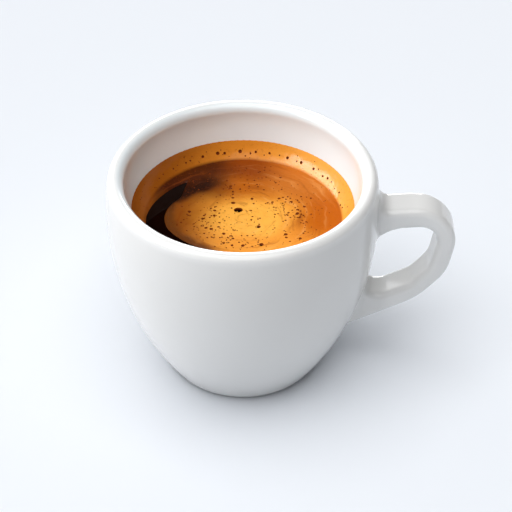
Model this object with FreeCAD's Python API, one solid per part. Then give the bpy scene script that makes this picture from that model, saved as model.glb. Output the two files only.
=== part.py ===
import FreeCAD, Part

import math
import os

# A small espresso cup of thick glazed porcelain, filled with coffee under a layer of crema.
#
# Millimetres, +Z up. The origin is the middle of the foot, on the table, and the handle points
# along +X. Each piece is one closed solid, written to parts/NODE.step:
#   cup     body, foot ring and ear-shaped handle, fired as one piece
#   coffee  the dark drink, which fills the bowl and shows where the crema is open
#   crema   the foam: a flat island on the drink and a sloping collar that clings to the wall

# --- Driving dimensions: cup ---------------------------------------------------------------------
CUP_HEIGHT = 57.0  # table to the top of the lip
RIM_RADIUS = 33.0  # outside of the lip
BELLY_RADIUS = 33.6  # widest radius of the body
BELLY_BELOW_LIP = 9.0  # how far under the lip the body is widest
TOE_RADIUS = 19.2  # where the side would meet the table
SIDE_POWER = 2.15  # how the side draws in below the belly: 2 is a parabola

FOOT_RADIUS = 18.3  # outside of the ring that the cup stands on
FOOT_HEIGHT = 0.9  # the ring stands this far below the body
FOOT_WIDTH = 3.2  # width of the ring
FOOT_RECESS = 1.8  # hollow inside the ring, above the table
FOOT_EASING = 0.4  # rounding of the ring's edges

LIP_THICKNESS = 4.0
LIP_OUTER_ROUND = 1.8  # the inner rounding takes the rest of the thickness
BOWL_FLOOR = 9.0  # thickness of the bottom under the bowl
BOWL_UPPER_DEPTH = 9.6  # below the lip, where the upper wall is measured
BOWL_UPPER_WALL = 6.1
BOWL_MIDDLE_DEPTH = 27.0  # below the lip, where the middle wall is measured
BOWL_MIDDLE_WALL = 8.0
BOWL_LOW_RISE = 8.5  # above the bowl's floor, where the low wall is measured
BOWL_LOW_WALL = 10.5

# --- Driving dimensions: handle ------------------------------------------------------------------
HANDLE_WIDTH = 9.0  # across the strap, along Y
HANDLE_SINK = 3.2  # how deep the strap's ends are set into the wall
STRAP_ROUND = 1.7  # rounding of the strap's long edges
TOP_THICKNESS = 5.6  # strap thickness along its top, back, slope and tail
BACK_THICKNESS = 4.7
SLOPE_THICKNESS = 4.4
TAIL_THICKNESS = 5.0
HANDLE_DROP = 9.0  # lip down to the top of the strap where it leaves the body
TOP_CLIMB_DEG = 4.0  # the top of the strap climbs slightly
HANDLE_REACH = 21.3  # from the belly out to where the crown's straight lines would meet
BACK_LEAN_DEG = 80.0  # climb of the back, so that the handle is widest near its top
ELBOW_BELOW_LIP = 28.2  # lip down to the corner between back and slope
SLOPE_DEG = 50.0  # climb of the slope
TAIL_DEG = 27.0  # climb of the tail away from the body
TAIL_BELOW_LIP = 46.2  # lip down to where the tail's underside leaves the body
CROWN_ROUND = 10.5  # outer corner roundings, from the top down
ELBOW_ROUND = 13.0
HEEL_ROUND = 20.0
GAP_UPPER_ROUND = 10.0  # finger gap roundings: under the top at the wall, crown, elbow, heel, wall
GAP_CROWN_ROUND = 4.6
GAP_ELBOW_ROUND = 7.0
GAP_HEEL_ROUND = 5.0
GAP_LOWER_ROUND = 5.0
GAP_WALL_CUT = 0.7  # the finger gap's outline runs this deep inside the wall's surface
ROOT_ROUND = 3.0  # soft joint of strap and body

# --- Driving dimensions: drink -------------------------------------------------------------------
DRINK_BELOW_LIP = 13.7  # lip down to the flat top of the crema
COLLAR_RISE = 4.1  # the collar of foam climbs the wall this far above the flat
COLLAR_WIDTH = 3.1  # and is this wide, from the wall to its foot
COLLAR_SHOULDER = 0.35  # how far the collar bulges out beyond a straight slope
CREMA_DEPTH = 2.0  # foam below its flat top
PATCH_DROP = 0.4  # the open coffee lies this far below the flat foam
PATCH_MARGIN = 0.25  # strip of flat foam between the open coffee and the collar's foot
ISLAND_RADIUS = 21.0  # the round foam island beside which the coffee lies open
ISLAND_SHIFT = 3.6  # how far the island has drifted from the middle
ISLAND_SHIFT_DEG = 60.0  # direction of that drift, from +X towards +Y


# --- Places that follow from the dimensions ------------------------------------------------------
BELLY_HEIGHT = CUP_HEIGHT - BELLY_BELOW_LIP
LIP_SPRING = CUP_HEIGHT - LIP_OUTER_ROUND  # the side ends here and the lip's rounding starts
LIP_INNER_ROUND = LIP_THICKNESS - LIP_OUTER_ROUND
BOWL_RIM_RADIUS = RIM_RADIUS - LIP_THICKNESS
BOWL_RIM_HEIGHT = CUP_HEIGHT - LIP_INNER_ROUND
DRINK_HEIGHT = CUP_HEIGHT - DRINK_BELOW_LIP
CREMA_FLOOR = DRINK_HEIGHT - CREMA_DEPTH
PATCH_HEIGHT = DRINK_HEIGHT - PATCH_DROP
COLLAR_HEIGHT = DRINK_HEIGHT + COLLAR_RISE
SIDE_STEPS = 9  # points worked out along the side's formula
SURFACE_TOLERANCE = 0.05  # nearer than this to the formula counts as on the side


# --- Small helpers -------------------------------------------------------------------------------
def at(radius, height):
    """A point of a section, which lies in the XZ plane."""
    return FreeCAD.Vector(radius, 0, height)


def line(start, end):
    return Part.LineSegment(start, end).toShape()


def polyline(points):
    return [line(points[index], points[index + 1]) for index in range(len(points) - 1)]


def spline(points, start_direction=None, end_direction=None):
    curve = Part.BSplineCurve()
    if start_direction is None:
        curve.interpolate(points)
    else:
        curve.interpolate(Points=points, InitialTangent=start_direction, FinalTangent=end_direction)
    return curve


def quarter_round(centre, radius, first_deg):
    """A quarter circle in the XZ plane, from first_deg on, anticlockwise as seen from -Y."""

    def on_circle(degrees):
        turn = math.radians(degrees)
        return centre + at(radius * math.cos(turn), radius * math.sin(turn))

    return Part.Arc(on_circle(first_deg), on_circle(first_deg + 45), on_circle(first_deg + 90)).toShape()


def revolved(edges):
    """A full turn about Z of a closed section."""
    face = Part.Face(Part.Wire(edges))
    return Part.makeSolid(face.revolve(FreeCAD.Vector(0, 0, 0), FreeCAD.Vector(0, 0, 1), 360))


def run(point, climb_deg):
    """A straight line in the XZ plane, as a point and a direction."""
    return point, at(math.cos(math.radians(climb_deg)), math.sin(math.radians(climb_deg)))


def shifted(straight, distance):
    """The line moved to its left by distance."""
    point, direction = straight
    return point + at(-direction.z, direction.x) * distance, direction


def crossing(first, second):
    """Where two lines in the XZ plane meet."""
    apart = second[0] - first[0]
    turn = first[1].x * second[1].z - first[1].z * second[1].x
    along = (apart.x * second[1].z - apart.z * second[1].x) / turn
    return first[0] + first[1] * along


def rounded_outline(corners):
    """A closed wire through (point, rounding) pairs, with an arc at each rounded corner."""
    stretches = []
    for index, (corner, rounding) in enumerate(corners):
        back = (corners[index - 1][0] - corner).normalize()
        ahead = (corners[(index + 1) % len(corners)][0] - corner).normalize()
        half_angle = back.getAngle(ahead) / 2
        reach = rounding / math.tan(half_angle)
        middle = (back + ahead).normalize() * (rounding / math.sin(half_angle) - rounding)
        stretches.append((corner + back * reach, corner + middle, corner + ahead * reach))
    edges = []
    for index, (start, middle, end) in enumerate(stretches):
        if (end - start).Length > 0:
            edges.append(Part.Arc(start, middle, end).toShape())
        edges.append(line(end, stretches[(index + 1) % len(stretches)][0]))
    return Part.Wire(edges)


# --- Cup -----------------------------------------------------------------------------------------
def side_radius(height):
    """Outer radius of the body: it draws in below the belly, and slightly towards the lip."""
    if height >= BELLY_HEIGHT:
        share = (height - BELLY_HEIGHT) / (LIP_SPRING - BELLY_HEIGHT)
        return BELLY_RADIUS - (BELLY_RADIUS - RIM_RADIUS) * share**2
    share = 1 - height / BELLY_HEIGHT
    return BELLY_RADIUS - (BELLY_RADIUS - TOE_RADIUS) * share**SIDE_POWER


def side_edge():
    step = (LIP_SPRING - FOOT_HEIGHT) / SIDE_STEPS
    heights = [FOOT_HEIGHT + step * index for index in range(SIDE_STEPS + 1)]
    return spline([at(side_radius(height), height) for height in heights]).toShape()


def bowl_curve():
    """Inside wall from the lip down to the middle of the bowl's floor, egg-shaped below."""
    upper = CUP_HEIGHT - BOWL_UPPER_DEPTH
    middle = CUP_HEIGHT - BOWL_MIDDLE_DEPTH
    low = BOWL_FLOOR + BOWL_LOW_RISE
    points = [
        at(BOWL_RIM_RADIUS, BOWL_RIM_HEIGHT),
        at(side_radius(upper) - BOWL_UPPER_WALL, upper),
        at(side_radius(middle) - BOWL_MIDDLE_WALL, middle),
        at(side_radius(low) - BOWL_LOW_WALL, low),
        at(0, BOWL_FLOOR),
    ]
    return spline(points, FreeCAD.Vector(0, 0, -1), FreeCAD.Vector(-1, 0, 0))


def foot_edges():
    """Underside, from the middle out: recess, ring with eased edges, and the step up to the side."""
    ring_inside = FOOT_RADIUS - FOOT_WIDTH
    return polyline(
        [
            at(0, FOOT_RECESS),
            at(ring_inside, FOOT_RECESS),
            at(ring_inside, FOOT_EASING),
            at(ring_inside + FOOT_EASING, 0),
            at(FOOT_RADIUS - FOOT_EASING, 0),
            at(FOOT_RADIUS, FOOT_EASING),
            at(FOOT_RADIUS, FOOT_HEIGHT),
            at(side_radius(FOOT_HEIGHT), FOOT_HEIGHT),
        ]
    )


def lip_edges():
    outer = quarter_round(at(RIM_RADIUS - LIP_OUTER_ROUND, LIP_SPRING), LIP_OUTER_ROUND, 0)
    inner = quarter_round(at(BOWL_RIM_RADIUS + LIP_INNER_ROUND, BOWL_RIM_HEIGHT), LIP_INNER_ROUND, 90)
    return [outer, inner]


def cup_body():
    middle = line(at(0, BOWL_FLOOR), at(0, FOOT_RECESS))
    body = revolved(foot_edges() + [side_edge()] + lip_edges() + [bowl_curve().toShape(), middle])
    body.rotate(FreeCAD.Vector(0, 0, 0), FreeCAD.Vector(0, 0, 1), 180)  # seam away from the handle
    return body


def handle_lines():
    """Outer straight runs of the strap, in order: top, back, slope and tail."""
    top_start = at(BELLY_RADIUS, CUP_HEIGHT - HANDLE_DROP)
    top = run(top_start, TOP_CLIMB_DEG)
    crown_corner = crossing(top, run(at(BELLY_RADIUS + HANDLE_REACH, 0), 90))
    back = run(crown_corner, BACK_LEAN_DEG)
    elbow_level = run(at(0, CUP_HEIGHT - ELBOW_BELOW_LIP), 0)
    slope = run(crossing(back, elbow_level), SLOPE_DEG)
    tail_height = CUP_HEIGHT - TAIL_BELOW_LIP
    tail = run(at(side_radius(tail_height), tail_height), TAIL_DEG)
    return top, back, slope, tail


def wall_chord(depth, low, high):
    """A straight line that runs depth inside the wall's surface at two heights."""
    start = at(side_radius(low) - depth, low)
    end = at(side_radius(high) - depth, high)
    return start, (end - start).normalize()


def handle_outline(top, back, slope, tail):
    root = wall_chord(HANDLE_SINK, tail[0].z, top[0].z)
    return rounded_outline(
        [
            (crossing(root, top), 0),
            (crossing(top, back), CROWN_ROUND),
            (crossing(back, slope), ELBOW_ROUND),
            (crossing(slope, tail), HEEL_ROUND),
            (crossing(tail, root), 0),
        ]
    )


def finger_gap_outline(top, back, slope, tail):
    """The gap follows the strap's outside at the strap's thickness, and the wall just inside it."""
    ceiling = shifted(top, -TOP_THICKNESS)
    outer = shifted(back, BACK_THICKNESS)
    ramp = shifted(slope, SLOPE_THICKNESS)
    floor = shifted(tail, TAIL_THICKNESS)
    wall = wall_chord(GAP_WALL_CUT, floor[0].z, ceiling[0].z)
    return rounded_outline(
        [
            (crossing(wall, ceiling), GAP_UPPER_ROUND),
            (crossing(ceiling, outer), GAP_CROWN_ROUND),
            (crossing(outer, ramp), GAP_ELBOW_ROUND),
            (crossing(ramp, floor), GAP_HEEL_ROUND),
            (crossing(floor, wall), GAP_LOWER_ROUND),
        ]
    )


def handle_strap():
    """The ear as a plate with a finger gap, its long edges rounded, its ends inside the wall."""
    lines = handle_lines()
    across = FreeCAD.Vector(0, HANDLE_WIDTH, 0)
    blank = Part.Face(handle_outline(*lines)).extrude(across)
    gap = Part.Face(finger_gap_outline(*lines)).extrude(across)
    plate = blank.cut(gap)
    plate.translate(across * -0.5)
    long_edges = []
    for edge in plate.Edges:
        middle = edge.CenterOfMass
        runs_across = edge.BoundBox.YLength > HANDLE_WIDTH / 2
        in_the_wall = side_radius(middle.z) - middle.x > HANDLE_SINK
        if not runs_across and not in_the_wall:
            long_edges.append(edge)
    return plate.makeFillet(STRAP_ROUND, long_edges)


def is_root(edge):
    """Whether an edge is where the strap's surface meets the outside of the body."""
    for parameter in edge.ParameterRange:
        point = edge.valueAt(parameter)
        off_body = abs(math.hypot(point.x, point.y) - side_radius(point.z))
        if point.x < 0 or abs(point.y) > HANDLE_WIDTH or off_body > SURFACE_TOLERANCE:
            return False
    return True


def cup():
    joined = cup_body().fuse(handle_strap())
    return joined.makeFillet(ROOT_ROUND, [edge for edge in joined.Edges if is_root(edge)])


# --- Drink ---------------------------------------------------------------------------------------
def bowl_point(curve, height):
    """The point of the bowl's curve at a height."""
    outside = max(RIM_RADIUS, BELLY_RADIUS)
    level = Part.LineSegment(at(0, height), at(outside, height))
    meeting = curve.intersect(level)[0]
    return at(meeting.X, meeting.Z)


def filled_bowl():
    """The drink's whole space, up to the level of the open coffee."""
    curve = bowl_curve()
    surface = bowl_point(curve, PATCH_HEIGHT)
    wall = curve.toShape(curve.parameter(surface), curve.LastParameter)
    middle = line(at(0, BOWL_FLOOR), at(0, PATCH_HEIGHT))
    return revolved([wall, middle, line(at(0, PATCH_HEIGHT), surface)])


def foam_layer():
    """The crema before the coffee is left open: flat in the middle, with its collar up the wall."""
    curve = bowl_curve()
    top = bowl_point(curve, COLLAR_HEIGHT)
    bottom = bowl_point(curve, CREMA_FLOOR)
    wall = curve.toShape(curve.parameter(top), curve.parameter(bottom))
    foot = at(top.x - COLLAR_WIDTH, DRINK_HEIGHT)
    slope = top - foot
    bulge = at(-slope.z, slope.x).normalize() * COLLAR_SHOULDER
    collar = Part.Arc(foot, foot + slope * 0.5 + bulge, top).toShape()
    flat = line(at(0, DRINK_HEIGHT), foot)
    middle = line(at(0, CREMA_FLOOR), at(0, DRINK_HEIGHT))
    return revolved([middle, flat, collar, wall, line(bottom, at(0, CREMA_FLOOR))]), foot.x


def open_patch(collar_foot_radius):
    """A crescent through the foam, between the collar's foot and the round island."""
    depth = DRINK_HEIGHT - CREMA_FLOOR
    turn = math.radians(ISLAND_SHIFT_DEG)
    centre = FreeCAD.Vector(math.cos(turn), math.sin(turn), 0) * ISLAND_SHIFT
    centre.z = CREMA_FLOOR
    island = Part.makeCylinder(ISLAND_RADIUS, depth, centre)
    inside_collar = Part.makeCylinder(collar_foot_radius - PATCH_MARGIN, depth, at(0, CREMA_FLOOR))
    return inside_collar.cut(island)


def drink():
    """Coffee and crema, face to face, from one foam layer and one filled bowl."""
    foam, collar_foot_radius = foam_layer()
    crema = foam.cut(open_patch(collar_foot_radius))
    coffee = filled_bowl().cut(crema)
    return coffee, crema


def save(shape, node):
    """Each node is a single closed solid."""
    solid = shape.Solids[0]
    print(node, "solids", len(shape.Solids), "valid", solid.isValid(), "volume", round(solid.Volume, 1))
    solid.exportStep("parts/" + node + ".step")


if __name__ == "__main__":
    os.makedirs("parts", exist_ok=True)
    coffee, crema = drink()
    save(cup(), "cup")
    save(coffee, "coffee")
    save(crema, "crema")
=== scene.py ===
# %% [markdown]
# # An espresso in its cup
#
# The frame holds three solids at their real size: a thick porcelain cup, the coffee in it and the crema
# on top. This notebook gives them their looks. The cup keeps its solid and gets a glaze. The coffee and
# the crema are modelled again, because foam has bubbles, folds and an uneven edge that a plain solid
# lacks. Every length is in metres, so a small value `MM` keeps sizes readable.

import math
import random

import bpy
from mathutils import Matrix, Quaternion, Vector


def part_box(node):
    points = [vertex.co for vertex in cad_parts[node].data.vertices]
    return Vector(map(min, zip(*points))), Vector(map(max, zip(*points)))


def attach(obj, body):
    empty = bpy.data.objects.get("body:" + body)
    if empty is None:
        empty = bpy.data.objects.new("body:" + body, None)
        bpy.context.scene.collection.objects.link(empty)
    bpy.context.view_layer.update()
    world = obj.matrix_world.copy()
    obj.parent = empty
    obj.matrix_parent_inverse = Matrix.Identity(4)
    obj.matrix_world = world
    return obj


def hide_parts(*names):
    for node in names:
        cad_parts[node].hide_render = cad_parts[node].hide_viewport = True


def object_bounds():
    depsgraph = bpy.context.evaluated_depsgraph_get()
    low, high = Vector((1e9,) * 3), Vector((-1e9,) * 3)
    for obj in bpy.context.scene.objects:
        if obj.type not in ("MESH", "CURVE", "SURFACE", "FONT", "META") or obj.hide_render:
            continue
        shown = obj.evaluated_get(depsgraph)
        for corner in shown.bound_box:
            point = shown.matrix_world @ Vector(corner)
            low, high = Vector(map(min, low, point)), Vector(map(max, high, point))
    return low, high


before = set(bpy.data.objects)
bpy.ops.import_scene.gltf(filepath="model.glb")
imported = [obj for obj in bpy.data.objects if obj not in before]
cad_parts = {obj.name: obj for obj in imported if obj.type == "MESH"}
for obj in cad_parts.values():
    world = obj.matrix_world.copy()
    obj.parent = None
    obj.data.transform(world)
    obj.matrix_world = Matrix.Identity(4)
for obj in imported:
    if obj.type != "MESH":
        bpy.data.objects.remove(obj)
cad_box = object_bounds()
MM = 0.001
print("frame loaded, overall size in mm:", [round((high - low) / MM, 1) for low, high in zip(*cad_box)])

# %% [markdown]
# ## The camera
#
# The cup is seen from the front and well above, at 39 degrees, through a long lens. A long lens far away
# keeps the two rims of the cup nearly parallel, where a short lens close by would swell the near lip.

# %% Place the camera
LENS_MM = 120
CAMERA_ELEVATION = math.radians(39.2)
CAMERA_DISTANCE = 430.65 * MM
look_at = Vector((3.2 * MM, 0, 31.1 * MM))

camera_data = bpy.data.cameras.new("camera")
camera_data.lens = LENS_MM
camera_data.sensor_width = 36
camera_data.clip_start = 10 * MM
camera = bpy.data.objects.new("camera", camera_data)
bpy.context.scene.collection.objects.link(camera)
toward_camera = Vector((0, -math.cos(CAMERA_ELEVATION), math.sin(CAMERA_ELEVATION)))
camera.location = look_at + toward_camera * CAMERA_DISTANCE
camera.rotation_euler = (math.pi / 2 - CAMERA_ELEVATION, 0, 0)
bpy.context.scene.camera = camera
print("camera stands", round(CAMERA_DISTANCE / MM), "mm from the cup")

# %% [markdown]
# ## Shader maths as plain expressions
#
# A material is a graph of nodes, and a graph written link by link is hard to read. `Field` wraps one
# output of a node. Adding or multiplying fields adds the Math nodes, and `node` adds any other kind.
# A field knows its node tree, so an expression such as `1 - mask * 0.5` needs nothing else.

# %% Define the field class
class Field:
    """One node output, which can be used in arithmetic."""

    def __init__(self, tree, socket):
        self.tree = tree
        self.socket = socket

    def node(self, kind, settings, inputs, output=0):
        """Adds a node: its settings come first, then values or links for its sockets."""
        added = self.tree.nodes.new(kind)
        for name, value in settings.items():
            setattr(added, name, value)
        for name, value in inputs.items():
            if isinstance(value, Field):
                self.tree.links.new(value.socket, added.inputs[name])
            else:
                added.inputs[name].default_value = value
        return Field(self.tree, added.outputs[output])

    def math(self, operation, *values, clamp=False):
        inputs = dict(enumerate(values))
        return self.node("ShaderNodeMath", {"operation": operation, "use_clamp": clamp}, inputs)

    def __add__(self, other):
        return self.math("ADD", self, other)

    __radd__ = __add__

    def __mul__(self, other):
        return self.math("MULTIPLY", self, other)

    __rmul__ = __mul__

    def __sub__(self, other):
        return self.math("SUBTRACT", self, other)

    def __rsub__(self, other):
        return self.math("SUBTRACT", other, self)

    def __truediv__(self, other):
        return self.math("DIVIDE", self, other)

    def __pow__(self, other):
        return self.math("POWER", self, other)

    def clamped(self):
        return self.math("ADD", self, 0, clamp=True)

    def rising(self, start, end):
        """0 below start and 1 above end, with a smooth rise between; start may lie above end."""
        limits = {"Value": self, "From Min": start, "From Max": end}
        return self.node("ShaderNodeMapRange", {"interpolation_type": "SMOOTHSTEP"}, limits)


def paint(hex_colour):
    """A colour written as on a paint chart, such as e8a23c, in the linear values that shaders use."""
    channels = [int(hex_colour[start : start + 2], 16) / 255 for start in (0, 2, 4)]
    linear = [value / 12.92 if value <= 0.04045 else ((value + 0.055) / 1.055) ** 2.4 for value in channels]
    return (*linear, 1)


def blend(amount, below, above):
    """Two colours or fields of colour, mixed: only below where amount is 0, only above where it is 1."""
    # A Mix node has sockets for every kind of value: 0 is the amount, and 6 and 7 are the two colours.
    return amount.node("ShaderNodeMix", {"data_type": "RGBA"}, {0: amount, 6: below, 7: above}, output=2)


print("the golden paint e8a23c in linear values:", [round(value, 3) for value in paint("e8a23c")])

# %% [markdown]
# ## What every material needs
#
# Patterns are placed by Object coordinates. Each piece's mesh already lies where the piece is, so these
# count in metres from the middle of the foot, and every piece shares them.

# %% Start a material
def start_material(name):
    """A new material with its Object coordinates, in metres, and its Principled shader."""
    material = bpy.data.materials.new(name)
    material.use_nodes = True
    tree = material.node_tree
    shader = tree.nodes["Principled BSDF"]
    coordinates = tree.nodes.new("ShaderNodeTexCoord")
    return material, shader, Field(tree, coordinates.outputs["Object"])


def split(place):
    """The x, y and z of a place, in millimetres."""
    return [place.node("ShaderNodeSeparateXYZ", {}, {"Vector": place}, axis) / MM for axis in range(3)]


def noise(place, size_mm, detail=2.0):
    """Cloudy noise around 0.5, with patches about size_mm wide."""
    inputs = {"Vector": place, "Scale": 1 / (size_mm * MM), "Detail": detail}
    return place.node("ShaderNodeTexNoise", {}, inputs)


def connect(shader, **fields):
    """Links fields to the shader's sockets; Base_Color stands for Base Color."""
    for name, value in fields.items():
        value.tree.links.new(value.socket, shader.inputs[name.replace("_", " ")])


def bump(height, strength, depth_mm, normal=None):
    """A bump from a height field of 0 to 1, which stands for depth_mm."""
    inputs = {"Height": height, "Strength": strength, "Distance": depth_mm * MM}
    if normal is not None:
        inputs["Normal"] = normal
    return height.node("ShaderNodeBump", {}, inputs)


print("material helpers ready")

# %% [markdown]
# ## The porcelain
#
# White hotel porcelain is a dense body under a clear, hard glaze. The glaze pools a little, so its
# reflections swim very slightly, and its gloss changes from place to place. The lip and the handle are
# painted whiter than the body: painted light for the extra light that their upper faces catch. The inside
# is
# painted lighter and a touch cooler: painted light that brightens the shaded inner wall and balances the
# warm light that the crema throws on it. Only the ring that stood on the kiln shelf is bare: it is wiped
# before firing, so it stays matt and a little grey. Each border between two tints is soft, and has a start
# and an end.

# %% Glaze the cup
FOOT_BORDER = (0.75, 0.9)  # heights, in mm
LIP_BORDER = (54, 56)
BOWL_BORDER = (41, 42)
HANDLE_BORDER = (34, 38)  # from the axis towards the handle, in mm
WALL_BORDER = (31.5, 30)  # from the axis, going inward

porcelain, shader, place = start_material("glazed_porcelain")
across, along, height = split(place)
glazed = (height + noise(place, 2.5) * 0.2).rising(*FOOT_BORDER)
inside = ((across**2 + along**2) ** 0.5).rising(*WALL_BORDER) * height.rising(*BOWL_BORDER)
# The lip is painted whiter than the body: painted light for the light that its top catches.
tint_and_painted_light = blend(height.rising(*LIP_BORDER), paint("e6e6e5"), paint("f3f3f2"))
# The handle is painted whiter too: painted light for the light on its upper face.
tint_and_painted_light = blend(across.rising(*HANDLE_BORDER), tint_and_painted_light, paint("f2f2f1"))
# The inside is painted lighter and cooler: painted light on the shaded inner wall.
tint_and_painted_light = blend(inside, tint_and_painted_light, paint("f3fbff"))
tint_and_painted_light = blend(noise(place, 14) * 0.3, tint_and_painted_light, paint("dedcd8"))
connect(shader, Base_Color=blend(glazed, paint("d9d5cc"), tint_and_painted_light))
connect(shader, Roughness=0.62 - glazed * (0.53 - noise(place, 9) * 0.06))
swim = bump(noise(place, 11, 1.0), 0.35, 0.12)
connect(shader, Normal=bump(noise(place, 0.35, 3.0), 0.05, 0.03, swim))
shader.inputs["IOR"].default_value = 1.52

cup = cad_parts["cup"]
cup.data.materials[0] = porcelain
print("cup glazed, triangles:", len(cup.data.polygons))

# %% [markdown]
# ## A closed solid by spinning
#
# The cup is turned on a wheel and the drink fills it, so both of the drink's pieces are round. Such a piece
# can be spun: a point is extruded along half of the cross-section, and that line is turned about the
# cup's axis. The seam and the two ends on the axis are merged, so that the solid is closed.

# %% Define the spin
def spun(name, profile, segments):
    """A closed solid from (radius, height) points in mm, which start and end on the axis."""
    bpy.ops.object.select_all(action="DESELECT")
    bpy.ops.mesh.primitive_plane_add(size=MM, location=(0, 0, 0))
    piece = bpy.context.object
    piece.name = piece.data.name = name
    bpy.ops.object.mode_set(mode="EDIT")
    bpy.ops.mesh.merge(type="CENTER")
    bpy.ops.transform.translate(value=(profile[0][0] * MM, 0, profile[0][1] * MM))
    for (radius, height), (next_radius, next_height) in zip(profile, profile[1:]):
        step = ((next_radius - radius) * MM, 0, (next_height - height) * MM)
        bpy.ops.mesh.extrude_vertices_move(TRANSFORM_OT_translate={"value": step})
    bpy.ops.mesh.select_all(action="SELECT")
    bpy.ops.mesh.spin(steps=segments, angle=2 * math.pi, center=(0, 0, 0), axis=(0, 0, 1))
    bpy.ops.mesh.select_all(action="SELECT")
    bpy.ops.mesh.remove_doubles(threshold=0.001 * MM)
    bpy.ops.mesh.normals_make_consistent(inside=False)
    bpy.ops.object.mode_set(mode="OBJECT")
    return piece


def apply_modifier(piece, kind, **settings):
    """Adds a modifier with its settings and applies it."""
    bpy.ops.object.select_all(action="DESELECT")
    piece.select_set(True)
    bpy.context.view_layer.objects.active = piece
    modifier = piece.modifiers.new(kind.lower(), kind)
    for name, value in settings.items():
        setattr(modifier, name, value)
    bpy.ops.object.modifier_apply(modifier=modifier.name)


# %% [markdown]
# ## The coffee
#
# Under the foam the cup is full of black coffee. It shows only in the crescent that the foam leaves open
# on the left. It is spun as the filling of the bowl. The bowl's shape is measured on the cup itself, by a
# ray from the axis to the porcelain at each height, and the rings stand closer towards the rounded bottom.
# The filling is a little larger than the bowl, so that no air gap shows at the wall.

# %% Measure the bowl
def heights_of(node_name):
    """A node's lowest and highest point, in mm above the table."""
    return [round(corner[2] / MM, 2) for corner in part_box(node_name)]


def bowl_radius(height):
    """How far the porcelain lies from the cup's axis, inside, at a height in mm."""
    away_from_seams = Vector((math.cos(0.5), math.sin(0.5), 0))
    _, wall, _, _ = cup.ray_cast(Vector((0, 0, height * MM)), away_from_seams)
    return math.hypot(wall.x, wall.y) / MM


drink_base, COFFEE_LEVEL = heights_of("coffee")
print("the bowl is filled from", drink_base, "to", COFFEE_LEVEL, "mm above the table")
print("it is", round(bowl_radius(COFFEE_LEVEL), 1), "mm in radius at the top of the coffee")

# %% Fill the bowl
BOWL_RINGS = 14
COFFEE_SEGMENTS = 192
INTO_WALL = 0.15

filling = [(0, drink_base)]
for ring in range(1, BOWL_RINGS + 1):
    height = drink_base + (COFFEE_LEVEL - drink_base) * (ring / BOWL_RINGS) ** 2
    filling.append((bowl_radius(height) + INTO_WALL, height))
coffee = spun("black_coffee", filling + [(0, COFFEE_LEVEL)], COFFEE_SEGMENTS)
print("coffee spun, faces:", len(coffee.data.polygons))

# %% [markdown]
# ## The crema
#
# Crema is a foam about two millimetres thick. It climbs the wall in a sloping collar, which turns sharply
# at a crease into the flat middle. The slope is slightly hollow, as where any liquid clings to a wall, and
# that hollow is what gathers the window's light in a long pale streak. One profile holds all of this, in
# short steps, so that folds and bubbles can be shaped in it later.

# %% Spin the foam
FOAM_FLOOR, FOAM_TOP = heights_of("crema")
CREMA_LEVEL = 43.3
CREASE_RADIUS = 24.4
COLLAR_RADIUS = 27.5  # where the collar meets the wall
MIDDLE_OF_WALL = (26.77, 44.3)  # radius and height of the wall halfway down the foam
FOAM_FLOOR_RADIUS = 26.15
HOLLOW_OUT = 0.2  # how far the hollow of the collar lies outward and down, in mm
HOLLOW_DOWN = 0.15
FLAT_RINGS = 70
COLLAR_RINGS = 16
FOAM_SEGMENTS = 384


def collar_point(share):
    """A point up the collar, from 0 at the crease to 1 at the wall, hollowed a little between."""
    hollow = math.sin(math.pi * share)
    radius = CREASE_RADIUS + (COLLAR_RADIUS - CREASE_RADIUS) * share + HOLLOW_OUT * hollow
    return radius, CREMA_LEVEL + (FOAM_TOP - CREMA_LEVEL) * share - HOLLOW_DOWN * hollow


flat = [(CREASE_RADIUS * ring / FLAT_RINGS, CREMA_LEVEL) for ring in range(FLAT_RINGS + 1)]
collar = [collar_point(ring / COLLAR_RINGS) for ring in range(1, COLLAR_RINGS + 1)]
down_the_wall = [(COLLAR_RADIUS, FOAM_TOP), MIDDLE_OF_WALL, (FOAM_FLOOR_RADIUS, FOAM_FLOOR)]
behind = [(radius + INTO_WALL, height) for radius, height in down_the_wall]
crema = spun("crema", flat + collar + behind + [(0, FOAM_FLOOR)], FOAM_SEGMENTS)
print("crema spun, faces:", len(crema.data.polygons))

# %% [markdown]
# ## The open crescent
#
# Pouring has pushed the crema to the right, so a crescent of black coffee shows on the left between the
# foam's edge and the crease. A plain cut would leave a sharp cliff, but real foam thins out and slips under
# the coffee. So the foam is painted with a weight where it is open, and sinks by that weight. Towards the
# back the island and the crease's foam meet, and the crescent runs out in a tip.

# %% Sink the foam under the coffee
ISLAND_CENTRE = (3.5, 0.6)
ISLAND_REACH = (22.6, 14.6)  # half the island's width and depth
ISLAND_MEAN_REACH = 18
ISLAND_SHORE = (-0.3, 1.3)  # from where to where the foam thins out, in mm past the edge
POOL_CENTRE = (-3.5, -2.5)
POOL_RADIUS = 21
POOL_SHORE = (-0.4, 0.9)
CREASE_MARGIN = 0.2
SINK_DEPTH = 1.1
TIP_CLOSING = 6
TIP_BEARINGS = (122, 154)  # degrees round from the handle


def ramp(value, start, end):
    """0 at start and 1 at end, smooth between them."""
    share = min(max((value - start) / (end - start), 0), 1)
    return share * share * (3 - 2 * share)


def past_island(x, y):
    """How far a place lies outside the island's edge, in mm."""
    reach = math.hypot((x - ISLAND_CENTRE[0]) / ISLAND_REACH[0], (y - ISLAND_CENTRE[1]) / ISLAND_REACH[1])
    return (reach - 1) * ISLAND_MEAN_REACH


def inside_pool(x, y):
    """How far a place lies inside the pool's outer edge, in mm."""
    from_circle = POOL_RADIUS - math.hypot(x - POOL_CENTRE[0], y - POOL_CENTRE[1])
    return min(from_circle, CREASE_RADIUS - CREASE_MARGIN - math.hypot(x, y))


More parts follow.
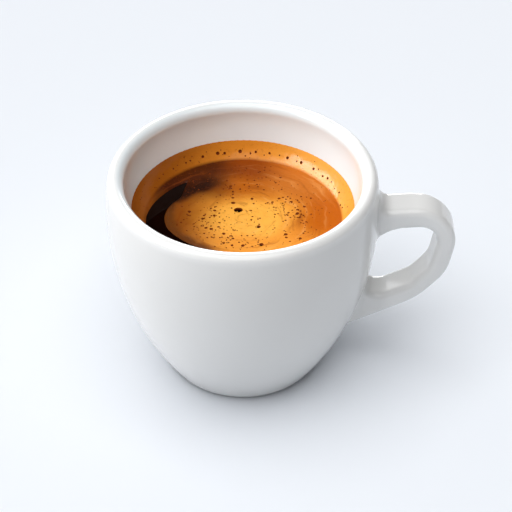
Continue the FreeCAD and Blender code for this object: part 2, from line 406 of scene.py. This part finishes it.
def closing(x, y):
    """How much of the gap the foam has covered, in mm: more and more towards the tip."""
    return TIP_CLOSING * (1 - ramp(math.degrees(math.atan2(y, x)) % 360, *TIP_BEARINGS))


def openness(x, y):
    """1 where the coffee lies open, 0 under whole foam."""
    return ramp(past_island(x, y) - closing(x, y), *ISLAND_SHORE) * ramp(inside_pool(x, y), *POOL_SHORE)


def paint_weights(piece, name, weight_at):
    """A vertex group whose weights come from a function of x, y and z in mm."""
    group = piece.vertex_groups.new(name=name)
    for vertex in piece.data.vertices:
        weight = weight_at(*(value / MM for value in vertex.co))
        if weight > 0:
            group.add([vertex.index], weight, "REPLACE")


paint_weights(crema, "open", lambda x, y, z: openness(x, y) if z > CREMA_LEVEL - 0.1 else 0)
sinking = {"direction": "Z", "mid_level": 0, "strength": -SINK_DEPTH * MM, "vertex_group": "open"}
apply_modifier(crema, "DISPLACE", **sinking)
lowest = min(v.co.z for v in crema.data.vertices if v.co.z > (FOAM_FLOOR + 0.1) * MM)
print("foam sinks to", round(lowest / MM, 2), "mm, under the coffee at", COFFEE_LEVEL)

# %% [markdown]
# ## Folds and unevenness
#
# Foam is never flat. The collar hangs in slack waves, and the middle swells a little here and there. Two
# soft cloud textures push the surface along its own slope, coarse first and then fine.

# %% Make the foam uneven
STILL_AT_WALL = (27.3, 26.7)  # the foam lies still at the wall, and moves freely from the second radius in
SUNKEN_LEVEL = 42.0  # all of the upper surface is above this
FOLDS = [("slack", 6.0, 0.22), ("ripple", 1.3, 0.1)]  # size across and height, in mm


def foam_weight(x, y, z):
    """How freely the foam moves: less where it lies under the coffee."""
    freedom = ramp(math.hypot(x, y), *STILL_AT_WALL) * (1 - 0.6 * openness(x, y))
    return freedom if z > SUNKEN_LEVEL else 0


def clouds(name, size_mm):
    texture = bpy.data.textures.new(name, "CLOUDS")
    texture.noise_scale = size_mm * MM
    texture.noise_depth = 2
    return texture


paint_weights(crema, "foam", foam_weight)
for name, size_mm, depth_mm in FOLDS:
    relief = {"texture": clouds(name, size_mm), "texture_coords": "LOCAL", "vertex_group": "foam"}
    apply_modifier(crema, "DISPLACE", direction="NORMAL", mid_level=0.5, strength=depth_mm * MM, **relief)
print("foam made uneven")

# %% [markdown]
# ## Open bubbles
#
# The dark dots are bubbles that have burst and left a small round pit in dark, wet foam. Pits are cut and
# not painted, because their rims catch the light. One small ball is modelled and copied to every place,
# and the joined balls are taken out of the foam at once. The larger pits have a place of their own, and
# the many small ones gather in loose crowds, as bubbles do.

# %% List the bubbles
BIG_BUBBLES = [
    (-1.2, 3.2, 0.8), (3.8, -3.5, 0.5), (4.5, -10.5, 0.46), (10.5, -6.6, 0.38), (10.6, -7.8, 0.28),
    (-3.2, 13.0, 0.32), (-3.4, 12.2, 0.22), (-2.6, 10.7, 0.26), (-2.6, 9.6, 0.22), (-2.6, 8.2, 0.28),
    (-2.5, 6.1, 0.42), (-7.1, 3.0, 0.32), (-7.1, 0.9, 0.36), (-9.9, -0.2, 0.38), (-9.7, 1.0, 0.25),
    (-13.4, 2.6, 0.36), (-10.2, -3.2, 0.26), (-9.1, -4.0, 0.3), (-7.8, -4.4, 0.36), (-6.0, -3.6, 0.26),
    (-4.7, -6.3, 0.34), (-2.9, -7.3, 0.34), (-2.4, -8.2, 0.26), (-4.8, -10.0, 0.34), (-2.6, -10.8, 0.28),
    (0.0, -10.9, 0.34), (9.0, 7.9, 0.3), (9.7, 5.9, 0.3), (12.0, 6.4, 0.36), (15.3, 4.5, 0.3),
    (13.6, 3.2, 0.34), (13.5, 1.8, 0.38), (14.4, 1.5, 0.3), (14.1, 0.3, 0.28), (7.3, 6.4, 0.26),
    (2.2, 7.8, 0.32), (14.0, -8.2, 0.34), (5.2, 11.5, 0.2), (-0.8, 11.8, 0.24), (17.0, 8.0, 0.24),
]  # x, y and radius, in mm
COLLAR_BUBBLES = [
    (114, 0.42, 0.28), (105, 0.42, 0.36), (101, 0.38, 0.28), (92, 0.43, 0.38), (89, 0.2, 0.16),
    (86, 0.33, 0.18), (83, 0.42, 0.26), (78, 0.31, 0.14), (75, 0.44, 0.24), (69, 0.43, 0.16),
    (64, 0.41, 0.3), (58, 0.39, 0.16), (55, 0.41, 0.32), (46, 0.39, 0.28), (43, 0.49, 0.16),
    (38, 0.33, 0.24), (34, 0.39, 0.28), (30, 0.38, 0.16), (25, 0.26, 0.14), (20, 0.34, 0.22),
    (11, 0.09, 0.2), (8, 0.14, 0.16), (122, 0.4, 0.18), (125, 0.38, 0.2), (134, 0.39, 0.18),
    (142, 0.42, 0.16), (146, 0.38, 0.14), (153, 0.2, 0.12), (158, 0.7, 0.14), (167, 0.47, 0.12),
]  # degrees round from the handle, share of the way up the collar, and radius in mm
CROWDS = [
    ((-9, 0), 4.0, 60), ((-3, -8), 3.0, 36), ((13, 2), 3.2, 45), ((10, 6), 2.6, 30), ((-2, 13), 4.0, 24),
    ((6, -5), 4.0, 20), ((2, 18), 3.0, 12),
]  # middle, spread in mm, and how many

# %% Place the bubbles
BIG_WIDENING = 1.2  # a burst bubble's pit is wider than the bubble was
COLLAR_WIDENING = 1.3
CROWD_RADII = (0.14, 0.27)  # smallest and largest, in mm
STRAYS = 220
STRAY_FIELD = ((-20, 22), (-17, 20))  # how far across and how far back they lie
STRAY_RADII = (0.1, 0.16)
COLLAR_STRAYS = 60
COLLAR_FIELD = (0.05, 0.75)  # shares of the way up the collar
COLLAR_STRAY_RADII = (0.09, 0.16)
WHOLE_FOAM = 0.02  # bubbles lie only where the foam is less open than this


def on_collar_at(angle, share, radius):
    """A bubble at an angle in radians and a share of the way up the collar."""
    out = collar_point(share)[0]
    return out * math.cos(angle), out * math.sin(angle), radius


chance = random.Random(11)
bubbles = [(x, y, radius * BIG_WIDENING) for x, y, radius in BIG_BUBBLES]
for degrees, share, radius in COLLAR_BUBBLES:
    bubbles.append(on_collar_at(math.radians(degrees), share, radius * COLLAR_WIDENING))
for (x, y), spread, count in CROWDS:
    for _ in range(count):
        bubbles.append((chance.gauss(x, spread), chance.gauss(y, spread), chance.uniform(*CROWD_RADII)))
for _ in range(STRAYS):
    bubbles.append(tuple(chance.uniform(*limits) for limits in (*STRAY_FIELD, STRAY_RADII)))
for _ in range(COLLAR_STRAYS):
    angle, share = chance.uniform(0, 2 * math.pi), chance.uniform(*COLLAR_FIELD)
    bubbles.append(on_collar_at(angle, share, chance.uniform(*COLLAR_STRAY_RADII)))
bubbles = [(x, y, radius) for x, y, radius in bubbles if openness(x, y) < WHOLE_FOAM]
print("bubbles:", len(bubbles))

# %% Make a ball for every bubble
BALL_DETAIL = 2
ABOVE_FOAM = 0.05  # a ball's middle lies this share of its radius above the foam


def surface_at(piece, x, y):
    """The point of the piece's upper surface at a place given in mm, and the way it faces."""
    above_all = Vector((x * MM, y * MM, cad_box[1][2]))
    hit, point, facing, _ = piece.ray_cast(above_all, Vector((0, 0, -1)))
    return (point, facing) if hit else None


bpy.ops.object.select_all(action="DESELECT")
bpy.ops.mesh.primitive_ico_sphere_add(subdivisions=BALL_DETAIL, radius=MM, location=(0, 0, 0))
ball = bpy.context.object
bpy.ops.object.select_all(action="DESELECT")
balls = []
for x, y, radius in bubbles:
    found = surface_at(crema, x, y)
    if found is None:
        continue
    point, facing = found
    placed = ball.copy()
    placed.data = ball.data.copy()
    turn = Matrix.Rotation(chance.uniform(0, math.pi), 4, "Z")
    stretch = Matrix.Diagonal((radius * chance.uniform(1.0, 1.25), radius, radius, 1))
    middle = Matrix.Translation(point + facing * radius * ABOVE_FOAM * MM)
    placed.data.transform(middle @ turn @ stretch)
    bpy.context.scene.collection.objects.link(placed)
    placed.select_set(True)
    balls.append(placed)
bpy.context.view_layer.objects.active = balls[0]
bpy.ops.object.join()
cutter = bpy.context.object
cutter.name = "bubble_cutter"
bpy.data.objects.remove(ball)
print("balls joined:", len(balls))

# %% Cut the bubbles out of the foam
PIT_MATERIAL = 1  # its place among the crema's materials
SHARP_ANGLE = math.radians(40)

foam, foam_shader, foam_place = start_material("crema_foam")
pit_wall, pit_shader, pit_place = start_material("wet_pit")
for piece in (crema, cutter):
    piece.data.materials.clear()
    piece.data.materials.append(foam)
    piece.data.materials.append(pit_wall)
for face in cutter.data.polygons:
    face.material_index = PIT_MATERIAL
apply_modifier(crema, "BOOLEAN", operation="DIFFERENCE", solver="MANIFOLD", object=cutter)
apply_modifier(coffee, "BOOLEAN", operation="DIFFERENCE", solver="MANIFOLD", object=crema)
bpy.data.objects.remove(cutter)
for piece in (crema, coffee):
    bpy.ops.object.select_all(action="DESELECT")
    piece.select_set(True)
    bpy.context.view_layer.objects.active = piece
    bpy.ops.object.shade_smooth_by_angle(angle=SHARP_ANGLE)
print("crema faces:", len(crema.data.polygons), "coffee faces:", len(coffee.data.polygons))

# %% [markdown]
# ## The colours of crema
#
# Fresh crema is golden where it is thick and full of fine bubbles, orange where it is wetter, and turns
# brown, then nearly black, where it thins out over the coffee. The colours follow soft regions whose
# borders are bent by noise, and long curved streaks follow the turning of the last stream. A border such
# as y.rising(4, 13) passes from one colour to the other between y = 4 mm and y = 13 mm.

# %% Mark the regions of the foam
BORDER_BEND = 4.5  # how far, in mm, noise moves the borders
BEND_SIZE = 7.0
FAR_OFF = (0.1, 0, 0)  # in metres: noise read that far away has nothing to do with the first

straight_x, straight_y, _ = split(foam_place)
radius = (straight_x**2 + straight_y**2) ** 0.5
other_place = foam_place.node("ShaderNodeVectorMath", {"operation": "ADD"}, {0: foam_place, 1: FAR_OFF})
x = straight_x + (noise(foam_place, BEND_SIZE) - 0.5) * BORDER_BEND
y = straight_y + (noise(other_place, BEND_SIZE) - 0.5) * BORDER_BEND


def from_middle(middle, reach):
    """0 in the middle of an oval and 1 on its edge, squared."""
    return ((x - middle[0]) / reach[0]) ** 2 + ((y - middle[1]) / reach[1]) ** 2


thick = from_middle((2, 0), (15, 10)).rising(1, 0.15)
to_shore = from_middle(ISLAND_CENTRE, ISLAND_REACH) ** 0.5
by_shore = to_shore.rising(0.86, 1.0) * to_shore.rising(1.3, 1.1)
on_collar = radius.rising(24.2, 25.0)
print("foam regions marked")

# %% Paint the island and the foam behind it
middle = blend(thick, paint("ec9833"), paint("fcb247"))
# The island is painted darker towards the left: partly thinner crema, partly painted shade where the left
# wall shades it.
middle = blend(x.rising(-4, -16), middle, paint("96500f"))
middle = blend(x.rising(7, 19) * y.rising(-14, -2), middle, paint("b85c08"))
back = blend(x.rising(-11, 0), paint("4a1b01"), paint("b8600d"))
back = blend(x.rising(0, 13), back, paint("c36e22"))
rear = blend(x.rising(-9, 2), paint("4f1f00"), paint("8e3f02"))
rear = blend(x.rising(2, 14), rear, paint("c46c20"))
colour = blend(y.rising(4, 13), middle, back)
colour = blend(y.rising(13, 20), colour, rear)
shore = blend(y.rising(2, 8), paint("6e3c12"), paint("2c0e01"))
colour = blend(by_shore * x.rising(-2, -10), colour, shore)
print("island golden, shore brown")

# %% Draw the streaks and paint the collar
turn = y.node("ShaderNodeMath", {"operation": "ARCTAN2"}, {0: straight_y - 3, 1: straight_x - 2})
stream = turn.node("ShaderNodeCombineXYZ", {}, {"X": turn * 1.1, "Y": (radius + (x - straight_x)) * 0.6})
streak = stream.node("ShaderNodeTexNoise", {}, {"Vector": stream, "Scale": 1.0, "Detail": 4.0})
colour = blend(streak.rising(0.52, 0.72) * x.rising(-8, 6) * 0.22, colour, paint("ffc679"))
colour = blend(streak.rising(0.46, 0.3) * 0.4, colour, paint("8a3f08"))

# The collar's orange is painted darker at the left and lighter at the right: painted shade and painted
# light for how the window's light falls across it.
collar_paint_and_shade = blend(straight_x.rising(-22, 0), paint("a65a0c"), paint("e08a26"))
collar_paint_and_shade = blend(straight_x.rising(0, 20), collar_paint_and_shade, paint("f7a93e"))
colour = blend(on_collar, colour, collar_paint_and_shade)
print("streaks drawn, collar painted")

# %% Give the foam its fine bubbles and its wet slope
FINE_BUBBLE = 0.45 * MM

froth = foam_place.node("ShaderNodeTexVoronoi", {}, {"Vector": foam_place, "Scale": 1 / FINE_BUBBLE})
mottle = noise(foam_place, 0.9, 3.0)
colour = blend(mottle.rising(0.55, 0.75) * 0.25, colour, paint("9a4a0a"))
colour = blend(froth.rising(0.25, 0.1) * 0.2, colour, paint("a0500c"))
connect(foam_shader, Base_Color=colour)
connect(foam_shader, Roughness=0.4 + mottle * 0.2)
wetness = (0.6 + noise(foam_place, 2.5) * 0.55).clamped()
wet_side = 0.3 + straight_x.rising(2, 12) * 0.7
connect(foam_shader, Coat_Weight=on_collar * wet_side * wetness + (1 - on_collar) * 0.06)
cells = bump(froth, 0.3, 0.05)
connect(foam_shader, Normal=bump(noise(foam_place, 1.6, 3.0), 0.35, 0.1, cells))
foam_shader.inputs["IOR"].default_value = 1.18
foam_shader.inputs["Coat IOR"].default_value = 1.6
foam_shader.inputs["Coat Roughness"].default_value = 0.2
print("foam frothed, its collar wet")

# %% Paint the bubble walls
connect(pit_shader, Base_Color=blend(noise(pit_place, 0.5), paint("8e3f0b"), paint("6a2a06")))
pit_shader.inputs["Roughness"].default_value = 0.4
pit_shader.inputs["IOR"].default_value = 1.2
print("bubble walls painted")

# %% [markdown]
# ## Black coffee
#
# Espresso lets through almost no light: only its edge looks brown. Its surface is a mirror, so it is
# painted nearly black and very smooth, and it shows the pale wall of the cup as a dim reflection.

# %% Paint the coffee
black, shader, place = start_material("black_coffee")
connect(shader, Base_Color=blend(noise(place, 5.0), paint("0c0200"), paint("180501")))
connect(shader, Roughness=0.03 + noise(place, 3.0) * 0.03)
connect(shader, Normal=bump(noise(place, 8.0, 1.0), 0.15, 0.1))
shader.inputs["IOR"].default_value = 1.16
coffee.data.materials.clear()
coffee.data.materials.append(black)
print("coffee painted")

# %% [markdown]
# ## The drink in its frame
#
# Each drink piece rides on the part's one body and stands for its solid, which is hidden.

# %% Join the drink to the frame
for piece, node_name, slot in ((coffee, "coffee", "coffee"), (crema, "crema", "crema")):
    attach(piece, "root")
    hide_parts(node_name)
print("drink pieces replace their solids")

# %% [markdown]
# ## The studio
#
# A long soft light stands at the left, as a window would. It whitens the left of the cup, leaves the
# right grey, and shows as the pale streak on the wet slope of the crema. A large one overhead evens out
# the front, and a low one behind brightens the far lip and the inner wall. It stays low, because the flat
# coffee would mirror a higher one. The window and the light behind would draw long shadows on the floor, so
# they reach only the cup and the drink, and the floor has a very large light of its own. A dim sky fills
# the darkest places.

# %% Lay the floor
FLOOR_SIDE = 6

bpy.ops.object.select_all(action="DESELECT")
bpy.ops.mesh.primitive_plane_add(size=FLOOR_SIDE, location=(0, 0, 0))
floor = bpy.context.object
floor.name = "floor"
floor_paint, shader, place = start_material("floor_paint")
connect(shader, Base_Color=blend(noise(place, 400), paint("eff3f9"), paint("eef2f8")))
shader.inputs["Roughness"].default_value = 0.9
shader.inputs["Specular IOR Level"].default_value = 0.1
floor.data.materials.append(floor_paint)
print("floor laid,", FLOOR_SIDE, "m square")

# %% Choose what each light reaches
def reach_of(name, pieces):
    """The collection that keeps a light to some pieces."""
    reach = bpy.data.collections.new(name)
    for piece in pieces:
        reach.objects.link(piece)
    return reach


drink_and_cup = reach_of("drink_and_cup", (cup, coffee, crema))
floor_only = reach_of("floor_only", (floor,))

# %% Hang the lights
SOFTBOX_DISTANCE = 4
SOFTBOXES = [
    ("window", 178, 29, 25, 4.8, 1.5, 6.2, drink_and_cup),
    ("overhead", 240, 77, 0, 4.2, 4.2, 2.6, None),
    ("behind", 90, 14, 0, 2.2, 1.6, 9.5, drink_and_cup),
    ("floor_light", 170, 78, 0, 9, 9, 0.56, floor_only),
]  # name, degrees round from the handle, degrees up, lean, width and height in m, brightness, and reach


def hang_softbox(name, turn, rise, lean, width, height, brightness, reach):
    """A rectangular area light that faces the cup; a reach of None lights everything."""
    turn, rise = math.radians(turn), math.radians(rise)
    direction = Vector((math.cos(rise) * math.cos(turn), math.cos(rise) * math.sin(turn), math.sin(rise)))
    data = bpy.data.lights.new(name, "AREA")
    data.shape = "RECTANGLE"
    data.size, data.size_y = width, height
    data.energy = brightness * math.pi * width * height
    softbox = bpy.data.objects.new(name, data)
    softbox.location = direction * SOFTBOX_DISTANCE
    leaning = Quaternion((0, 0, 1), math.radians(lean))
    softbox.rotation_euler = (direction.to_track_quat("Z", "Y") @ leaning).to_euler()
    softbox.light_linking.receiver_collection = reach
    bpy.context.scene.collection.objects.link(softbox)


for softbox in SOFTBOXES:
    hang_softbox(*softbox)
print("softboxes:", len(SOFTBOXES))

# %% Add a dim sky
sky = bpy.data.worlds.new("sky")
sky.use_nodes = True
background = sky.node_tree.nodes["Background"]
background.inputs["Color"].default_value = (0.93, 0.96, 1.0, 1)
background.inputs["Strength"].default_value = 0.04
bpy.context.scene.world = sky
bpy.context.scene.view_settings.view_transform = "Standard"
print("sky strength:", round(background.inputs["Strength"].default_value, 2))
